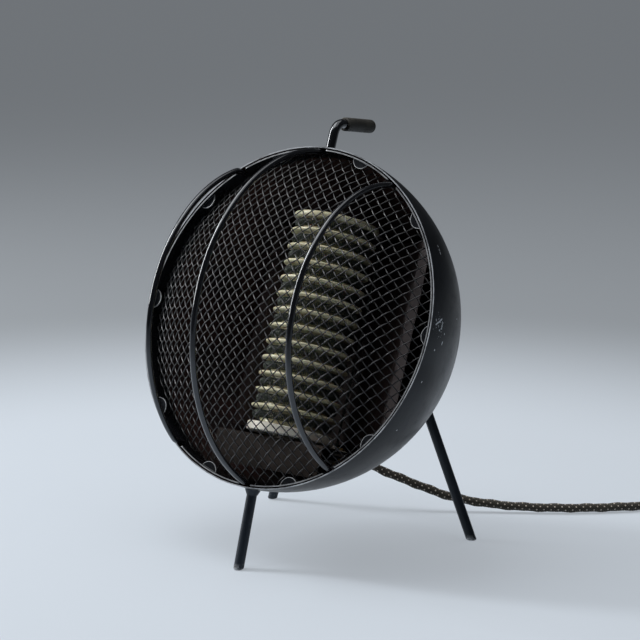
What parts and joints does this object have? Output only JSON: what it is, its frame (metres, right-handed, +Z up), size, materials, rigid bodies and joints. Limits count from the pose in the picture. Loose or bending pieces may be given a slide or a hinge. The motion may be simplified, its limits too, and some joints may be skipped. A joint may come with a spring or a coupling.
{
  "type": "space heater",
  "caption": "Bowl-shaped electric space heater on rod legs, with a finned ceramic element behind a domed wire mesh, bent guard rods, a rod handle and a cloth-covered cord.",
  "frame": {"origin": "on the table, under the middle of the heater's box measured without its cord", "axes": "+Z up, -Y out of the open face, +X to the right of someone who looks at the open face"},
  "size_m": [0.5303, 0.4741, 0.3524],
  "materials": {
    "black_enamel": "satin black enamel, worn at edges",
    "mesh_steel": "dull darkened steel wire",
    "grip": "matte dark sleeve",
    "ceramic": "cream glazed ceramic",
    "resistance_wire": "oxidised resistance wire",
    "mica": "pressed mica",
    "plain_steel": "plain steel",
    "tinted_steel": "heat-tinted sheet steel",
    "brass": "dull brass",
    "lead_cover": "woven heat-proof sleeving",
    "rubber": "matte black rubber",
    "braid": "braided cloth with pale flecks"
  },
  "bodies": {
    "root": {"bowl_shell": "black_enamel", "retaining_ring": "black_enamel", "mesh_guard": "mesh_steel", "guard_rod_left": "black_enamel", "guard_rod_middle": "black_enamel", "guard_rod_right": "black_enamel", "front_leg": "black_enamel", "rear_leg_left": "black_enamel", "rear_leg_right": "black_enamel", "handle_rod": "black_enamel", "handle_grip": "grip", "ceramic_core": "ceramic", "heating_coil": "resistance_wire", "element_washers": "mica", "element_bracket": "plain_steel", "tie_rod": "plain_steel", "tie_nuts": "plain_steel", "reflector": "tinted_steel", "centre_spacer": "plain_steel", "centre_bolt": "plain_steel", "centre_nut": "plain_steel", "terminal_plate": "tinted_steel", "terminal_insulators": "ceramic", "terminal_posts": "brass", "terminal_nuts": "brass", "coil_lead_lower": "resistance_wire", "coil_lead_upper": "resistance_wire", "supply_leads": "lead_cover", "cord_bushing": "rubber", "power_cord": "braid", "cord_coil": "braid", "plug_body": "rubber", "plug_blades": "brass"}
  },
  "joints": []
}
